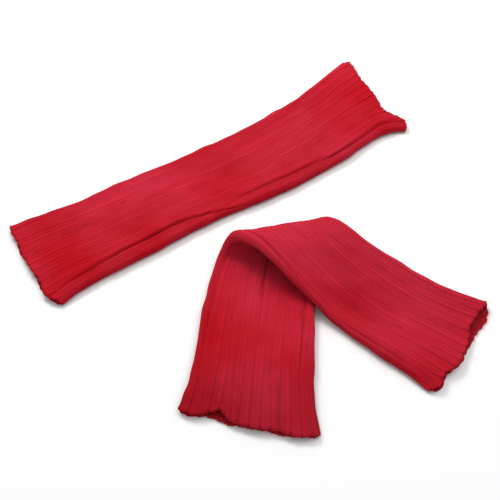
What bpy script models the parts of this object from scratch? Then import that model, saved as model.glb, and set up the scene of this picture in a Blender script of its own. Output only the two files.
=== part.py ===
"""A pair of ribbed leg warmers: one laid out straight, one folded over once on the slant. Metres, +Z up."""
import math
from collections import namedtuple

import bmesh
import bpy
import numpy as np

COLLECTION = "pair_of_leg_warmers"

# The knitted tube, the same for both leg warmers
LENGTH = 0.400  # from bound edge to bound edge
RIBS = 28  # round the whole tube
WALL = 0.0030  # from a rib's crest to the plain inside
GROOVE_DEPTH = 0.0012  # of the groove between two ribs
RIB_SHARES = (0.0, 0.24, 0.76)  # a groove, then the two shoulders of the rib beside it
LAID_HEIGHT = 0.0098  # two layers and the air between them, at the rounded side edges
REST_BAND = 0.0025  # ribs fade out this close to the surface that the cloth rests on
SCALLOP = 0.0008  # how far ribs stand out of a mouth's line, and grooves in
MOUTH_REACH = 0.060  # how far from a mouth its slanted line still bends the courses
LIFT_REACH = 0.022  # how far from a mouth a raised lip still shows
CREASE_WIDTH = 0.0036

RED = (0.50, 0.010, 0.026, 1.0)
ROUGHNESS = 0.85
SHARP_EDGE = 40.0  # degrees, past which the shading breaks

HEADING_STEPS = 400  # in which the headings are summed along the tube
BEND_STEPS = 1200  # in which the slopes are summed round the fold

# A row for each section: place along the tube, heading in degrees from +X, half the width laid flat,
# and how far the middle of the front and back layers sinks between the edges
Section = namedtuple("Section", "along heading half_width front_sag back_sag")
# A row for each place across a mouth, from its right edge (-1) to its left (1): how far the front and
# back layers reach along the heading, and how far each lifts off the other
Mouth = namedtuple("Mouth", "across front back front_lift back_lift")
# A row for each place along a crease: its distance round the wall from the side edge, and its depth
Crease = namedtuple("Crease", "along inset depth")
# A row for each change of bend in the fold, in fold radii from the fold line: slope in degrees
Bend = namedtuple("Bend", "distance slope")

STRAIGHT_START = (-0.1820, -0.0580)
STRAIGHT_SECTIONS = (
    Section(0.00, 34, 0.0540, 0.0008, 0.0),
    Section(0.06, 34, 0.0485, 0.0020, 0.0),
    Section(0.12, 37, 0.0465, 0.0020, 0.0),
    Section(0.18, 32, 0.0450, 0.0020, 0.0),
    Section(0.24, 36, 0.0470, 0.0022, 0.0),
    Section(0.30, 42, 0.0485, 0.0020, 0.0),
    Section(0.36, 45, 0.0505, 0.0014, 0.0),
    Section(0.40, 40, 0.0600, 0.0012, 0.0),
)
STRAIGHT_STEPS = ((0.0, 0.020, 2), (0.020, 0.380, 20), (0.380, 0.400, 2))
STRAIGHT_MOUTHS = (
    (
        Mouth(-1.0, 0.0000, 0.0000, 0.0, 0.0),
        Mouth(-0.9, -0.0035, -0.0035, 0.0002, 0.0),
        Mouth(-0.5, -0.0040, -0.0035, 0.0006, 0.0),
        Mouth(0.0, -0.0020, -0.0015, 0.0004, 0.0),
        Mouth(0.4, 0.0000, 0.0005, 0.0006, 0.0),
        Mouth(0.6, 0.0015, 0.0020, 0.0006, 0.0),
        Mouth(0.85, 0.0045, 0.0050, 0.0004, 0.0),
        Mouth(1.0, 0.0070, 0.0070, 0.0, 0.0),
    ),
    (
        Mouth(-1.0, -0.0150, -0.0150, 0.0, 0.0),
        Mouth(-0.95, -0.0100, -0.0100, 0.0, 0.0),
        Mouth(-0.82, -0.0090, -0.0095, 0.0002, 0.0),
        Mouth(-0.7, -0.0125, -0.0130, 0.0004, 0.0),
        Mouth(-0.55, -0.0145, -0.0150, 0.0008, 0.0),
        Mouth(-0.35, -0.0115, -0.0125, 0.0010, 0.0),
        Mouth(0.0, -0.0035, -0.0045, 0.0010, 0.0),
        Mouth(0.4, 0.0045, 0.0035, 0.0010, 0.0),
        Mouth(0.6, 0.0100, 0.0090, 0.0008, 0.0),
        Mouth(0.82, 0.0140, 0.0135, 0.0006, 0.0),
        Mouth(1.0, 0.0160, 0.0160, 0.0, 0.0),
    ),
)
STRAIGHT_CREASES = (
    ("front", "right", (
        Crease(0.000, 0.0140, 0.0010),
        Crease(0.040, 0.0165, 0.0016),
        Crease(0.085, 0.0180, 0.0020),
        Crease(0.140, 0.0160, 0.0020),
        Crease(0.165, 0.0100, 0.0018),
        Crease(0.182, 0.0040, 0.0010),
        Crease(0.200, 0.0010, 0.0),
    )),
    ("front", "right", (
        Crease(0.185, 0.0120, 0.0),
        Crease(0.205, 0.0150, 0.0012),
        Crease(0.240, 0.0170, 0.0020),
        Crease(0.275, 0.0150, 0.0020),
        Crease(0.295, 0.0110, 0.0020),
        Crease(0.330, 0.0100, 0.0018),
        Crease(0.355, 0.0115, 0.0016),
        Crease(0.400, 0.0105, 0.0010),
    )),
)

FOLDED_START = (0.0065, -0.2290)
FOLDED_SECTIONS = (
    Section(0.00, 85, 0.0540, 0.0014, 0.0),
    Section(0.04, 86, 0.0490, 0.0016, 0.0),
    Section(0.08, 85, 0.0480, 0.0020, 0.0),
    Section(0.12, 84, 0.0475, 0.0020, 0.0),
    Section(0.16, 81, 0.0460, 0.0018, 0.0),
    Section(0.20, 76, 0.0400, 0.0012, 0.0004),
    Section(0.24, 73, 0.0375, 0.0010, 0.0010),
    Section(0.28, 69, 0.0395, 0.0008, 0.0020),
    Section(0.32, 65, 0.0445, 0.0004, 0.0020),
    Section(0.36, 63, 0.0490, 0.0, 0.0016),
    Section(0.40, 61, 0.0555, 0.0, 0.0008),
)
FOLDED_STEPS = ((0.0, 0.020, 2), (0.020, 0.158, 7), (0.158, 0.256, 16), (0.256, 0.380, 7), (0.380, 0.400, 2))
FOLDED_MOUTHS = (
    (
        Mouth(-1.0, -0.0065, -0.0065, 0.0, 0.0),
        Mouth(-0.9, -0.0070, -0.0065, 0.0002, 0.0),
        Mouth(-0.5, -0.0050, -0.0042, 0.0005, 0.0),
        Mouth(-0.1, -0.0025, -0.0015, 0.0007, 0.0),
        Mouth(0.15, 0.0015, 0.0010, 0.0010, 0.0),
        Mouth(0.32, 0.0062, 0.0032, 0.0016, 0.0),
        Mouth(0.44, 0.0100, 0.0062, 0.0026, 0.0),
        Mouth(0.58, 0.0075, 0.0058, 0.0016, 0.0),
        Mouth(0.85, 0.0072, 0.0068, 0.0006, 0.0),
        Mouth(1.0, 0.0095, 0.0095, 0.0, 0.0),
    ),
    (
        Mouth(-1.0, -0.0070, -0.0070, 0.0, 0.0),
        Mouth(-0.9, -0.0040, -0.0062, 0.0, 0.0006),
        Mouth(-0.7, -0.0010, -0.0078, 0.0, 0.0014),
        Mouth(-0.45, 0.0012, -0.0072, 0.0, 0.0020),
        Mouth(-0.2, 0.0022, -0.0010, 0.0, 0.0014),
        Mouth(0.0, 0.0035, 0.0030, 0.0, 0.0010),
        Mouth(0.3, 0.0055, 0.0055, 0.0, 0.0010),
        Mouth(0.45, 0.0048, 0.0050, 0.0, 0.0008),
        Mouth(0.62, 0.0025, 0.0025, 0.0, 0.0008),
        Mouth(0.78, 0.0025, 0.0025, 0.0, 0.0006),
        Mouth(0.9, 0.0035, 0.0035, 0.0, 0.0002),
        Mouth(1.0, -0.0010, -0.0010, 0.0, 0.0),
    ),
)
FOLDED_CREASES = (
    ("front", "left", (
        Crease(0.040, 0.0100, 0.0),
        Crease(0.075, 0.0110, 0.0012),
        Crease(0.115, 0.0140, 0.0018),
        Crease(0.150, 0.0170, 0.0014),
        Crease(0.175, 0.0180, 0.0),
    )),
    ("front", "right", (
        Crease(0.000, 0.0150, 0.0012),
        Crease(0.060, 0.0125, 0.0016),
        Crease(0.110, 0.0115, 0.0014),
        Crease(0.150, 0.0110, 0.0),
    )),
    ("back", "left", (
        Crease(0.215, 0.0110, 0.0),
        Crease(0.245, 0.0115, 0.0014),
        Crease(0.300, 0.0100, 0.0018),
        Crease(0.360, 0.0100, 0.0018),
        Crease(0.400, 0.0115, 0.0010),
    )),
)

# The fold: where its line crosses the centre line, the line's angle from +X, and the bend's radius,
# which grows toward the line's left end
FOLD_ALONG = 0.189
FOLD_ANGLE = 14
FOLD_RADIUS = 0.012
FOLD_GROWTH = -0.015  # of the radius, for each metre along the fold line
FOLD_BENDS = (
    Bend(-4, 0),
    Bend(-1, 0),
    Bend(0, 30),
    Bend(1, 85),
    Bend(2, 145),
    Bend(3, 175),
)
FOLD_FALL = (5, 9, 12)  # where the long fall starts and ends, and where the cloth lies flat again
STEEPEST_FALL = 60.0
FALL_TOLERANCE = 1e-6  # degrees


def column(rows, name):
    return np.array([getattr(row, name) for row in rows])


def smooth(rows, name, at):
    """A cubic curve through one column of a table, which is read at its first column's values."""
    x = column(rows, rows[0]._fields[0])
    y = column(rows, name)
    slope = np.gradient(y, x)
    at = np.clip(at, x[0], x[-1])
    row = np.clip(np.searchsorted(x, at, side="right") - 1, 0, len(x) - 2)
    step = x[row + 1] - x[row]
    u = (at - x[row]) / step
    rise = (3 - 2 * u) * u * u
    return (
        y[row] * (1 - rise)
        + y[row + 1] * rise
        + step * u * (1 - u) * ((1 - u) * slope[row] - u * slope[row + 1])
    )


def depth_in(rows, name, at):
    """A column of depths, which never turns into a bulge between its rows."""
    return np.maximum(0.0, smooth(rows, name, at))


def running_sum(values, first=0.0):
    return first + np.concatenate([[0.0], np.cumsum(values)])


def centre_line(sections, stations):
    """Floor points of the centre line from its headings, with the heading at each."""
    fine = np.linspace(0.0, LENGTH, HEADING_STEPS + 1)
    heading = np.radians(smooth(sections, "heading", fine))
    middle = (heading[1:] + heading[:-1]) / 2
    step = fine[1] - fine[0]
    x = np.interp(stations, fine, running_sum(step * np.cos(middle)))
    y = np.interp(stations, fine, running_sum(step * np.sin(middle)))
    return np.stack([x, y], axis=1), np.interp(stations, fine, heading)


def half_round(half_width):
    """The length of cloth from one side edge of the tube to the other."""
    return 2 * half_width + (math.pi / 2 - 1) * LAID_HEIGHT


def over_the_top(half_width, distance):
    """Across, up and outward normal on a flattened tube's upper half, measured from its left edge."""
    r = LAID_HEIGHT / 2
    corner = math.pi * r / 2
    face = 2 * (half_width - r)
    on_left = np.clip(distance, 0, corner) / r
    on_face = np.clip(distance - corner, 0, face)
    on_right = np.clip(distance - corner - face, 0, corner) / r
    across = half_width - r + r * np.cos(on_left) - on_face - r * np.sin(on_right)
    up = r + r * np.sin(on_left) - r * (1 - np.cos(on_right))
    normal = np.stack([np.cos(on_left) - np.sin(on_right), np.sin(on_left) + np.cos(on_right) - 1], axis=1)
    return across, up, normal


def round_the_tube(half_width, distance):
    """The same all the way round: the lower half is the upper half turned by half a turn."""
    half = half_round(half_width)
    under = distance >= half
    across, up, normal = over_the_top(half_width, np.where(under, distance - half, distance))
    side = np.where(under, -1.0, 1.0)
    return across * side, np.where(under, LAID_HEIGHT - up, up), normal * side[:, None]


def trough(creases, along, half, distance):
    """How deep the creases press into the wall at each point of a ring."""
    depth = np.zeros(len(distance))
    for layer, edge, rows in creases:
        inset = smooth(rows, "inset", along)
        deepest = depth_in(rows, "depth", along)
        start = {"left": 0.0, "right": half}[edge]
        forward = (layer == "front") == (edge == "left")
        away = (distance - start) if forward else (start - distance)
        away = (away + half) % (2 * half) - half
        depth += deepest * np.exp(-(((away - inset) / CREASE_WIDTH) ** 2))
    return depth


def fold_profile(bends):
    """The fold seen along its line, in radii: distance, forth, up and slope, falling back to the floor."""
    start, end, flat = FOLD_FALL
    fine = np.linspace(bends[0].distance, flat, BEND_STEPS + 1)
    step = fine[1] - fine[0]
    low, high = 0.0, STEEPEST_FALL
    while high - low > FALL_TOLERANCE:
        fall = (low + high) / 2
        rows = bends + (Bend(start, 180.0 + fall), Bend(end, 180.0 + fall), Bend(flat, 180.0))
        slope = np.radians(np.interp(fine, column(rows, "distance"), column(rows, "slope")))
        middle = (slope[1:] + slope[:-1]) / 2
        up = running_sum(step * np.sin(middle))
        low, high = (fall, high) if up[-1] > 0 else (low, fall)
    forth = running_sum(step * np.cos(middle), fine[0])
    return fine, forth, up, slope


def folded_over(points, corner, profile):
    """Bends points that lie flat over the slanted fold line through the corner."""
    angle = math.radians(FOLD_ANGLE)
    line = np.array([math.cos(angle), math.sin(angle)])
    past = np.array([-line[1], line[0]])
    away = points[:, :2] - corner
    along_line = away @ line
    radius = FOLD_RADIUS + FOLD_GROWTH * along_line
    distance = (away @ past) / radius
    fine, forth, up, slope = profile
    inside = np.clip(distance, fine[0], fine[-1])
    beyond = distance - inside
    turn = np.interp(inside, fine, slope)
    height = points[:, 2] - LAID_HEIGHT / 2
    forward = (np.interp(inside, fine, forth) + beyond * np.cos(turn)) * radius - height * np.sin(turn)
    z = LAID_HEIGHT / 2 + np.interp(inside, fine, up) * radius + height * np.cos(turn)
    flat = corner + along_line[:, None] * line + forward[:, None] * past
    return np.column_stack([flat, z])


def mouth_shift(mouths, along, across, front_share):
    """How far each point moves along the heading, and how far it lifts, from the lines of the mouths."""
    shift = np.zeros(len(across))
    lift = np.zeros(len(across))
    for rows, gone in zip(mouths, (along, LENGTH - along)):
        fade = max(0.0, 1 - gone / MOUTH_REACH) ** 2
        front = smooth(rows, "front", across)
        back = smooth(rows, "back", across)
        shift += fade * (back + (front - back) * front_share)
        near = max(0.0, 1 - gone / LIFT_REACH) ** 2
        lift += near * front_share * depth_in(rows, "front_lift", across)
        lift -= near * (1 - front_share) * depth_in(rows, "back_lift", across)
    return shift, lift


def ring(sections, mouths, creases, centre, heading, along, shares, inward, place):
    """Points round the tube at the given shares of the way round, moved into the wall by inward."""
    half_width = float(smooth(sections, "half_width", along))
    half = half_round(half_width)
    distance = shares * 2 * half
    across, up, normal = round_the_tube(half_width, distance)
    share_across = across / half_width
    front_share = (1 + normal[:, 1]) / 2
    middle = 1 - share_across**4
    sag = middle * front_share * depth_in(sections, "front_sag", along)
    rise = middle * (1 - front_share) * depth_in(sections, "back_sag", along)
    shift, lift = mouth_shift(mouths, along, share_across, front_share)
    inward = inward + trough(creases, along, half, distance)
    across = across - normal[:, 0] * inward
    up = up - normal[:, 1] * inward - sag + rise + lift
    ahead = np.array([math.cos(heading), math.sin(heading)])
    aside = np.array([-ahead[1], ahead[0]])
    flat = centre + across[:, None] * aside + shift[:, None] * ahead
    return place(np.column_stack([flat, up]))


def tube_rings(sections, steps, mouths, creases, place):
    """The tube's outer rings, three points to a rib, and its plain inner rings, one point to a rib."""
    stations = np.unique(np.concatenate([np.linspace(start, end, count + 1) for start, end, count in steps]))
    centres, headings = centre_line(sections, stations)
    ribs = np.arange(RIBS)
    inner_shares = ribs / RIBS
    outer_shares = (ribs[:, None] + np.array(RIB_SHARES)).ravel() / RIBS
    in_groove = np.tile([1.0, 0.0, 0.0], RIBS)
    outer, inner = [], []
    for along, centre, heading in zip(stations, centres, headings):
        section = (sections, mouths, creases, centre, heading, along)
        crest = ring(*section, outer_shares, np.zeros(len(outer_shares)), place)
        free = np.clip(crest[:, 2] / REST_BAND, 0, 1) ** 2
        points = ring(*section, outer_shares, GROOVE_DEPTH * in_groove * free, place)
        outer.append(points)
        inner.append(ring(*section, inner_shares, np.full(RIBS, WALL), place))
    scalloped = [(outer[0], outer[1]), (outer[-1], outer[-2])]
    for mouth, before in scalloped:
        outward = mouth - before
        outward /= np.linalg.norm(outward, axis=1)[:, None]
        outward[:, 2] = 0
        mouth += outward * (SCALLOP * (1 - 2 * in_groove))[:, None]
    return np.array(outer), np.array(inner)


def loft(name, outer, inner, location):
    """One closed wall: the outer rings, the inner rings, and a band of faces round each mouth."""
    mesh = bmesh.new()
    outer_verts = [[mesh.verts.new(point) for point in points] for points in outer]
    inner_verts = [[mesh.verts.new(point) for point in points] for points in inner]
    for rings in (outer_verts, inner_verts):
        count = len(rings[0])
        for this, after in zip(rings, rings[1:]):
            for i in range(count):
                j = (i + 1) % count
                mesh.faces.new((this[i], this[j], after[j], after[i]))
    steps = len(RIB_SHARES)
    for outside, inside in ((outer_verts[0], inner_verts[0]), (outer_verts[-1], inner_verts[-1])):
        for rib in range(RIBS):
            across = [outside[(rib * steps + i) % len(outside)] for i in range(steps + 1)]
            mesh.faces.new((inside[rib], across[0], across[1]))
            mesh.faces.new((inside[rib], across[1], across[2], inside[(rib + 1) % RIBS]))
            mesh.faces.new((inside[(rib + 1) % RIBS], across[2], across[3]))
    bmesh.ops.recalc_face_normals(mesh, faces=mesh.faces)
    data = bpy.data.meshes.new(name)
    mesh.to_mesh(data)
    mesh.free()
    data.shade_smooth()
    data.set_sharp_from_angle(angle=math.radians(SHARP_EDGE))
    tube = bpy.data.objects.new(name, data)
    tube.location = (*location, 0.0)
    return tube


def knit_material(name):
    material = bpy.data.materials.new(name)
    material.use_nodes = True
    shader = material.node_tree.nodes["Principled BSDF"]
    shader.inputs["Base Color"].default_value = RED
    shader.inputs["Roughness"].default_value = ROUGHNESS
    shader.inputs["Metallic"].default_value = 0.0
    return material


def straight_leg_warmer():
    """The leg warmer that lies out straight, flat on the surface."""
    outer, inner = tube_rings(
        STRAIGHT_SECTIONS, STRAIGHT_STEPS, STRAIGHT_MOUTHS, STRAIGHT_CREASES, lambda points: points
    )
    tube = loft("straight_leg_warmer", outer, inner, STRAIGHT_START)
    tube.data.materials.append(knit_material("straight_knit"))
    return tube


def folded_leg_warmer():
    """The leg warmer whose second half is folded back over the first, in a loose arch."""
    corner, _ = centre_line(FOLDED_SECTIONS, np.array([FOLD_ALONG]))
    profile = fold_profile(FOLD_BENDS)
    outer, inner = tube_rings(
        FOLDED_SECTIONS,
        FOLDED_STEPS,
        FOLDED_MOUTHS,
        FOLDED_CREASES,
        lambda points: folded_over(points, corner[0], profile),
    )
    tube = loft("folded_leg_warmer", outer, inner, FOLDED_START)
    tube.data.materials.append(knit_material("folded_knit"))
    return tube


def main():
    for item in list(bpy.data.objects):
        bpy.data.objects.remove(item)
    pair = bpy.data.collections.new(COLLECTION)
    bpy.context.scene.collection.children.link(pair)
    for tube in (straight_leg_warmer(), folded_leg_warmer()):
        pair.objects.link(tube)


main()
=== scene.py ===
# %% [markdown]
# This lesson dresses a pair of red ribbed leg warmers. Each one is a knitted tube, 400 mm long and
# about 95 mm wide when it lies flat, bound off at both mouths, with nothing sewn onto it. One lies out
# straight and the other is folded over once, in a loose arch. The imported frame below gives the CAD
# model at its real size and place, and everything in this file is fitted to it.

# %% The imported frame
import math
from collections import namedtuple
from functools import partial

import bpy
import numpy as np
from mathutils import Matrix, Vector


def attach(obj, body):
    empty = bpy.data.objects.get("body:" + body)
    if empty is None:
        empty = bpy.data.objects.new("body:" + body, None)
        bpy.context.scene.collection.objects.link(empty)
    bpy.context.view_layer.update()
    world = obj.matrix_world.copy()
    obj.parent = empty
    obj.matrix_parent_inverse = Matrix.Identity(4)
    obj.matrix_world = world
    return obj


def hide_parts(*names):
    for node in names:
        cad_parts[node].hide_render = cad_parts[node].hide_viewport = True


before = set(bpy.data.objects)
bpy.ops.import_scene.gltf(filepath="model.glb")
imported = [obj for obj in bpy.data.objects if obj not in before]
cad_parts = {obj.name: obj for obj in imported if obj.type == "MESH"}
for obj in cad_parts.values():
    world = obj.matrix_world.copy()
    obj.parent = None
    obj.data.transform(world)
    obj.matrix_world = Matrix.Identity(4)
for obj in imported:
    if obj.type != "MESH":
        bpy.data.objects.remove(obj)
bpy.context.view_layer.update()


def in_mm(values):
    return [round(1000 * value, 1) for value in values]


# %% [markdown]
# The photograph looks down on the pair at 45 degrees through a long lens, so the far mouth is hardly
# smaller than the near one. The camera was fitted to both outlines, and stands one metre from the
# point on the floor that it looks at. It comes first, because everything else is judged through it.

# %% The camera
LOOKED_AT = Vector((0.0084, -0.0362, 0.0))
CAMERA_DISTANCE = 1.0
CAMERA_DOWN = math.radians(45)
SENSOR = 36.0  # in mm, as the lens is
LENS = 80.9

camera = bpy.data.objects.new("camera", bpy.data.cameras.new("camera"))
camera.data.sensor_width = SENSOR
camera.data.lens = LENS
backwards = Vector((0, -math.cos(CAMERA_DOWN), math.sin(CAMERA_DOWN)))
camera.location = LOOKED_AT + CAMERA_DISTANCE * backwards
camera.rotation_euler = (math.pi / 2 - CAMERA_DOWN, 0, 0)
bpy.context.scene.collection.objects.link(camera)
bpy.context.scene.camera = camera
print("camera in mm:", in_mm(camera.location))

# %% [markdown]
# Two by one rib is knitted with two plain columns of stitches, which stand out, and one purled column,
# which sinks in between them. A column of stitches is called a wale and a row of them a course. There
# are 28 ribs round each tube, so 84 wales, and a course is a little under 2 mm high. Those few numbers
# set the whole cloth.

# %% The knit's sizes
LENGTH = 0.400
RIBS = 28
RIB_WALES = 3
WALES = RIB_WALES * RIBS
COURSE = 0.00185
WALL = 0.0030
LAID_HEIGHT = 0.0098  # of the whole tube, lying flat
GROOVE_SHARE = 0.24  # of a rib's width, where the purled wale sinks in
GROOVE_DEPTH = 0.0012
REST_BAND = 0.0025  # the ribs are pressed flat this close to the surface
print("courses:", round(LENGTH / COURSE), "wales:", WALES)

# %% [markdown]
# The cloth lies in a slow curve and its width changes along it, so its layout is a short table with a
# row for each place along the tube. Such a table could be a curve drawn in Blender, but then its sizes
# couldn't be read. A cubic curve through each column keeps it smooth between the rows.

# %% Reading a table as a smooth curve
Section = namedtuple("Section", "along heading half_width front_sag back_sag", defaults=(0.0,))
Mouth = namedtuple("Mouth", "across front back front_lift back_lift", defaults=(0.0, 0.0))
Line = namedtuple("Line", "layer edge creases")
Crease = namedtuple("Crease", "along inset depth")
Pucker = namedtuple("Pucker", "along round length width turn depth")
Slack = namedtuple("Slack", "along ribs deep")
Bend = namedtuple("Bend", "distance slope")


def table(kind, *rows):
    return tuple(kind(*row) for row in rows)


def column(rows, name):
    return np.array([getattr(row, name) for row in rows])


def smooth(rows, name, at):
    """A cubic curve through one column of a table, which is read at its first column's values."""
    x = column(rows, rows[0]._fields[0])
    y = column(rows, name)
    slope = np.gradient(y, x)
    at = np.clip(at, x[0], x[-1])
    row = np.clip(np.searchsorted(x, at, side="right") - 1, 0, len(x) - 2)
    step = x[row + 1] - x[row]
    u = (at - x[row]) / step
    rise = (3 - 2 * u) * u * u
    ends = y[row] * (1 - rise) + y[row + 1] * rise
    return ends + step * u * (1 - u) * ((1 - u) * slope[row] - u * slope[row + 1])


def depth_in(rows, name, at):
    """A column of depths, which never turns into a bulge between its rows."""
    return np.maximum(0.0, smooth(rows, name, at))


# %% [markdown]
# The straight leg warmer lies from lower left to upper right. Its headings are in degrees, and the
# sags say how far each layer sinks toward the other. Its mouths flare, because nothing holds the ribs
# together there. The line of a mouth has its own table: across runs from -1 at the right edge to 1 at
# the left one, front and back say how far each layer is moved along the tube, and the lifts how far
# it stands off the other layer.

# %% The straight leg warmer's layout
STRAIGHT_START = (-0.1820, -0.0580)
STRAIGHT_SECTIONS = table(
    Section,
    (0.00, 34, 0.0545, 0.0008),
    (0.06, 34, 0.0475, 0.0020),
    (0.12, 37, 0.0465, 0.0020),
    (0.18, 32, 0.0450, 0.0020),
    (0.24, 36, 0.0470, 0.0022),
    (0.30, 42, 0.0485, 0.0020),
    (0.36, 45, 0.0492, 0.0014),
    (0.40, 40, 0.0600, 0.0012),
)
STRAIGHT_MOUTHS = (
    table(
        Mouth,
        (-1.0, 0.0012, 0.0012),
        (-0.88, -0.0032, -0.0030, 0.0002),
        (-0.5, -0.0040, -0.0035, 0.0006),
        (0.0, -0.0020, -0.0015, 0.0004),
        (0.4, 0.0000, 0.0005, 0.0006),
        (0.6, 0.0015, 0.0020, 0.0006),
        (0.85, 0.0042, 0.0047, 0.0004),
        (1.0, 0.0055, 0.0055),
    ),
    table(
        Mouth,
        (-1.0, -0.0150, -0.0150),
        (-0.95, -0.0112, -0.0112),
        (-0.84, -0.0078, -0.0080, 0.0002),
        (-0.7, -0.0092, -0.0097, 0.0004),
        (-0.55, -0.0110, -0.0115, 0.0008),
        (-0.35, -0.0095, -0.0105, 0.0010),
        (0.0, -0.0018, -0.0028, 0.0010),
        (0.4, 0.0062, 0.0052, 0.0010),
        (0.6, 0.0112, 0.0102, 0.0008),
        (0.82, 0.0150, 0.0145, 0.0006),
        (0.95, 0.0172, 0.0167, 0.0002),
        (1.0, 0.0150, 0.0150),
    ),
)
print("half widths of the straight one in mm:", in_mm(column(STRAIGHT_SECTIONS, "half_width")))

# %% [markdown]
# A flattened tube wants to spring open at its side edges, so a long crease lies beside an edge and
# wanders toward it and away from it. The table gives its distance from the edge and its depth.
# Puckers are the short soft dents that a hand leaves. Each has its place along and round the tube
# (0 is the left edge, 0.5 the right one), its length, width, turn from the tube's direction and depth.
# A depth below nothing is a swelling, where air is caught between the layers.
# Slack says how far the ribs close up: where the cloth is pulled wide the grooves between them open
# and flatten, and where it is left slack, as near a mouth, they are deep. Its last column is painted
# shade: how much deeper the red is made where the ribs close up toward the mouths.

# %% The straight leg warmer's creases
STRAIGHT_CREASES = (
    Line("front", "right", table(
        Crease,
        (0.000, 0.0140, 0.0008),
        (0.040, 0.0165, 0.0024),
        (0.085, 0.0180, 0.0028),
        (0.140, 0.0160, 0.0028),
        (0.165, 0.0100, 0.0022),
        (0.182, 0.0045, 0.0012),
        (0.200, 0.0015, 0.0),
    )),
    Line("front", "right", table(
        Crease,
        (0.185, 0.0120, 0.0),
        (0.205, 0.0150, 0.0014),
        (0.240, 0.0170, 0.0026),
        (0.266, 0.0158, 0.0024),
        (0.314, 0.0108, 0.0026),
        (0.340, 0.0102, 0.0026),
        (0.370, 0.0115, 0.0022),
        (0.400, 0.0105, 0.0014),
    )),
)
STRAIGHT_SLACK = table(
    Slack,
    (0.000, 0.45, 0.03),
    (0.030, 0.28, 0.02),
    (0.100, 0.18, 0.00),
    (0.200, 0.18, 0.02),
    (0.300, 0.30, 0.07),
    (0.370, 0.46, 0.00),
    (0.400, 0.70, 0.00),
)
STRAIGHT_PUCKERS = table(
    Pucker,
    (0.045, 0.17, 0.050, 0.009, 6, 0.0009),
    (0.110, 0.28, 0.060, 0.012, -5, 0.0008),
    (0.150, 0.10, 0.045, 0.008, -8, 0.0007),
    (0.215, 0.22, 0.055, 0.010, 7, 0.0008),
    (0.290, 0.32, 0.050, 0.011, -6, 0.0007),
    (0.350, 0.12, 0.045, 0.009, 10, 0.0009),
    (0.372, 0.34, 0.030, 0.008, -12, 0.0008),
)
print("creases:", len(STRAIGHT_CREASES), "puckers:", len(STRAIGHT_PUCKERS))

# %% [markdown]
# The folded leg warmer starts at its near mouth. Its first half lies with its front layer up. Past the
# fold the back layer is the one that shows, so the sag moves from the front to the back, and so do the
# creases. Its first pucker is the broad swelling behind the near mouth, and the next two are thin
# lines that run along a groove.

# %% The folded leg warmer's layout
FOLDED_START = (0.0065, -0.2290)
FOLDED_SECTIONS = table(
    Section,
    (0.00, 85, 0.0540, 0.0014),
    (0.04, 86, 0.0481, 0.0016),
    (0.08, 85, 0.0472, 0.0020),
    (0.12, 84, 0.0467, 0.0020),
    (0.16, 81, 0.0454, 0.0018),
    (0.20, 76, 0.0400, 0.0012, 0.0004),
    (0.24, 73, 0.0375, 0.0010, 0.0010),
    (0.28, 68.7, 0.0395, 0.0008, 0.0020),
    (0.32, 64.6, 0.0442, 0.0004, 0.0020),
    (0.36, 62.5, 0.0485, 0.0, 0.0016),
    (0.40, 60.5, 0.0550, 0.0, 0.0008),
)
FOLDED_MOUTHS = (
    table(
        Mouth,
        (-1.0, -0.0045, -0.0045),
        (-0.92, -0.0062, -0.0052),
        (-0.5, -0.0050, -0.0036),
        (-0.1, -0.0024, -0.0012),
        (0.15, 0.0006, 0.0008, 0.0002),
        (0.28, 0.0042, 0.0022, 0.0008),
        (0.39, 0.0110, 0.0052, 0.0022),
        (0.52, 0.0084, 0.0068, 0.0012),
        (0.85, 0.0078, 0.0072, 0.0004),
        (1.0, 0.0100, 0.0100),
    ),
    table(
        Mouth,
        (-1.0, -0.0050, -0.0055),
        (-0.9, -0.0015, -0.0042, 0.0, 0.0004),
        (-0.7, 0.0010, -0.0060, 0.0, 0.0010),
        (-0.45, 0.0022, -0.0066, 0.0, 0.0014),
        (-0.2, 0.0022, -0.0010, 0.0, 0.0010),
        (0.0, 0.0025, 0.0020, 0.0, 0.0008),
        (0.3, 0.0040, 0.0040, 0.0, 0.0008),
        (0.45, 0.0032, 0.0034, 0.0, 0.0006),
        (0.62, 0.0010, 0.0010, 0.0, 0.0006),
        (0.78, 0.0015, 0.0015, 0.0, 0.0004),
        (0.9, 0.0020, 0.0020, 0.0, 0.0002),
        (1.0, -0.0025, -0.0025),
    ),
)
print("half widths of the folded one in mm:", in_mm(column(FOLDED_SECTIONS, "half_width")))

# %% The folded leg warmer's creases
FOLDED_CREASES = (
    Line("front", "left", table(
        Crease,
        (0.040, 0.0080, 0.0),
        (0.075, 0.0085, 0.0010),
        (0.115, 0.0095, 0.0014),
        (0.150, 0.0110, 0.0010),
        (0.185, 0.0120, 0.0),
    )),
    Line("front", "right", table(
        Crease,
        (0.000, 0.0150, 0.0012),
        (0.060, 0.0125, 0.0018),
        (0.110, 0.0115, 0.0016),
        (0.150, 0.0110, 0.0),
    )),
    Line("back", "left", table(
        Crease,
        (0.190, 0.0110, 0.0),
        (0.212, 0.0110, 0.0013),
        (0.235, 0.0090, 0.0011),
        (0.262, 0.0060, 0.0006),
        (0.285, 0.0040, 0.0),
    )),
    Line("back", "left", table(
        Crease,
        (0.290, 0.0055, 0.0),
        (0.320, 0.0062, 0.0012),
        (0.360, 0.0068, 0.0018),
        (0.400, 0.0085, 0.0008),
    )),
)
FOLDED_SLACK = table(
    Slack,
    (0.000, 0.85, 0.38),
    (0.035, 0.65, 0.22),
    (0.070, 0.30, 0.07),
    (0.110, 0.15, 0.00),
    (0.180, 0.11, 0.00),
    (0.220, 0.14, 0.00),
    (0.270, 0.20, 0.00),
    (0.330, 0.30, 0.05),
    (0.370, 0.50, 0.10),
    (0.400, 0.85, 0.10),
)
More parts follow.
